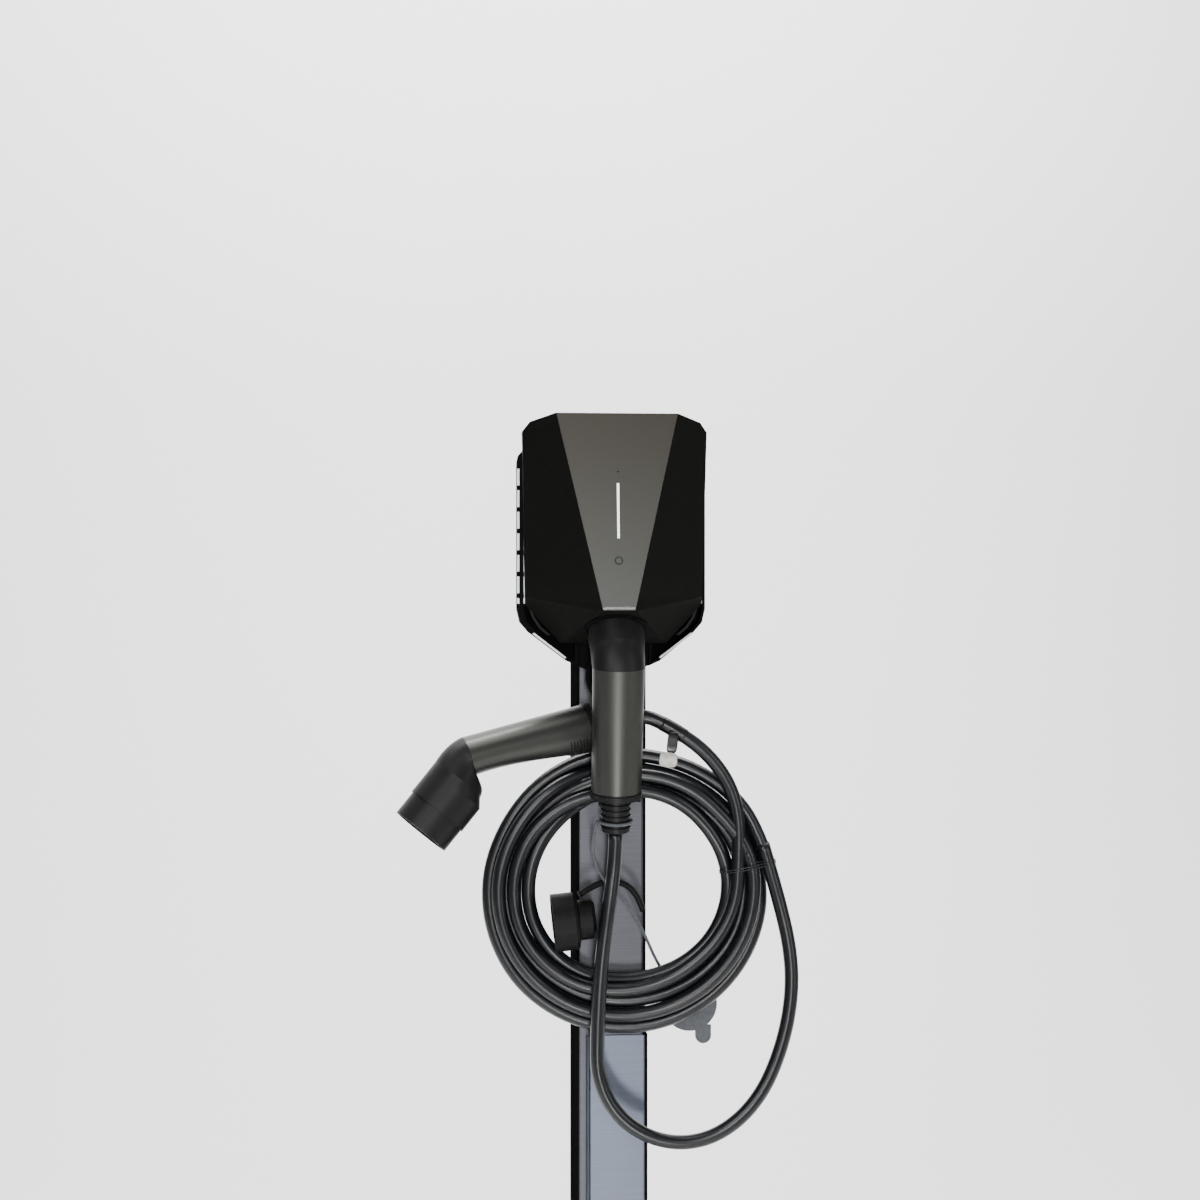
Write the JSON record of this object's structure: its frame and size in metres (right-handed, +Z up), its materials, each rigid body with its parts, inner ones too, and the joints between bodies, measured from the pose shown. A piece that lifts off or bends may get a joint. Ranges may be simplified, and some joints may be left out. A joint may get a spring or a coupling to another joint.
{
  "type": "ev charging post",
  "caption": "Steel post with a faceted charger, a tilted socket with a plug in it, a service door, and a coiled charging cable whose loose connector hangs at the side.",
  "frame": {"origin": "on the ground, at the centre of the four anchor holes", "axes": "+Z up along the post, front faces -Y, X to the right seen from the front"},
  "size_m": [0.4482, 0.2879, 1.4],
  "materials": {
    "post_steel": "brushed",
    "base_steel": "satin",
    "door_steel": "brushed",
    "bright_steel": "polished",
    "lock_metal": "satin",
    "bracket_steel": "satin",
    "cover_black": "gloss",
    "housing_black": "matte",
    "fascia_bronze": "satin",
    "light": "translucent",
    "seal_rubber": "matte",
    "aluminium": "satin",
    "board_green": "satin",
    "component_grey": "matte",
    "sensor_black": "matte",
    "contact_silver": "polished",
    "grip_black": "matte",
    "handle_dark": "satin",
    "cable_black": "satin",
    "cap_black": "matte",
    "cap_grey": "matte",
    "tie_black": "matte",
    "label_white": "matte"
  },
  "bodies": {
    "post": {"base_plate": "base_steel", "bracket_screws": "bright_steel", "cable_coil": "cable_black", "cable_drop": "cable_black", "cable_holder": "bracket_steel", "cable_label": "label_white", "cable_lead": "cable_black", "cable_tie": "tie_black", "card_reader": "board_green", "connector_cap": "cap_black", "connector_cap_strap": "cap_black", "connector_carrier": "grip_black", "connector_contacts": "contact_silver", "connector_end_ring": "grip_black", "connector_gland": "grip_black", "connector_handle": "handle_dark", "connector_head": "grip_black", "connector_neck": "grip_black", "connector_shroud": "grip_black", "contactor": "component_grey", "cover_seal": "seal_rubber", "current_sensor": "sensor_black", "fascia": "fascia_bronze", "front_cover": "cover_black", "heat_sink": "aluminium", "hinge_knuckles_post": "bright_steel", "hinge_pin": "bright_steel", "holder_screws": "bright_steel", "led_board": "board_green", "lid_pin": "bright_steel", "light_guide": "light", "lock_actuator": "sensor_black", "main_board": "board_green", "plug_cap": "cap_grey", "plug_cap_lanyard": "cap_grey", "post_cap": "bracket_steel", "post_tube": "post_steel", "power_terminals": "component_grey", "rear_housing": "housing_black", "socket_bezel": "housing_black", "socket_body": "housing_black", "socket_contacts": "contact_silver", "supply_terminals": "component_grey", "terminal_rail": "aluminium", "wall_bracket": "bracket_steel"},
    "plug": {"plug_carrier": "grip_black", "plug_contacts": "contact_silver", "plug_end_ring": "grip_black", "plug_gland": "grip_black", "plug_handle": "handle_dark", "plug_head": "grip_black", "plug_neck": "grip_black", "plug_shroud": "grip_black"},
    "lid": {"socket_lid": "cap_black"},
    "lock_pin": {"lock_pin": "bright_steel"},
    "door": {"service_door": "door_steel", "hinge_knuckles_door": "bright_steel"},
    "door_lock": {"door_lock": "lock_metal", "door_cam": "lock_metal"}
  },
  "joints": [
    {"name": "plug_pull", "type": "slide", "parent": "post", "child": "plug", "axis": [0, -0.4384, -0.8988], "range_m": [0, 0.06], "deforming": ["cable_drop", "plug_cap_lanyard"]},
    {"name": "lid_swing", "type": "hinge", "parent": "post", "child": "lid", "pos_m": [0, -0.08539, 1.144], "axis": [1, 0, 0], "range_deg": [0, 14], "stiffness_Nm_per_rad": 0.004, "springref_deg": -91.67},
    {"name": "lock_slide", "type": "slide", "parent": "post", "child": "lock_pin", "axis": [-1, 0, 0], "range_m": [0, 0.006]},
    {"name": "door_swing", "type": "hinge", "parent": "post", "child": "door", "pos_m": [-0.0262, -0.0524, 0.427], "axis": [0, 0, -1], "range_deg": [0, 38]},
    {"name": "door_lock_turn", "type": "hinge", "parent": "door", "child": "door_lock", "pos_m": [0.017, -0.052, 0.33], "axis": [0, 1, 0], "range_deg": [0, 90]}
  ]
}
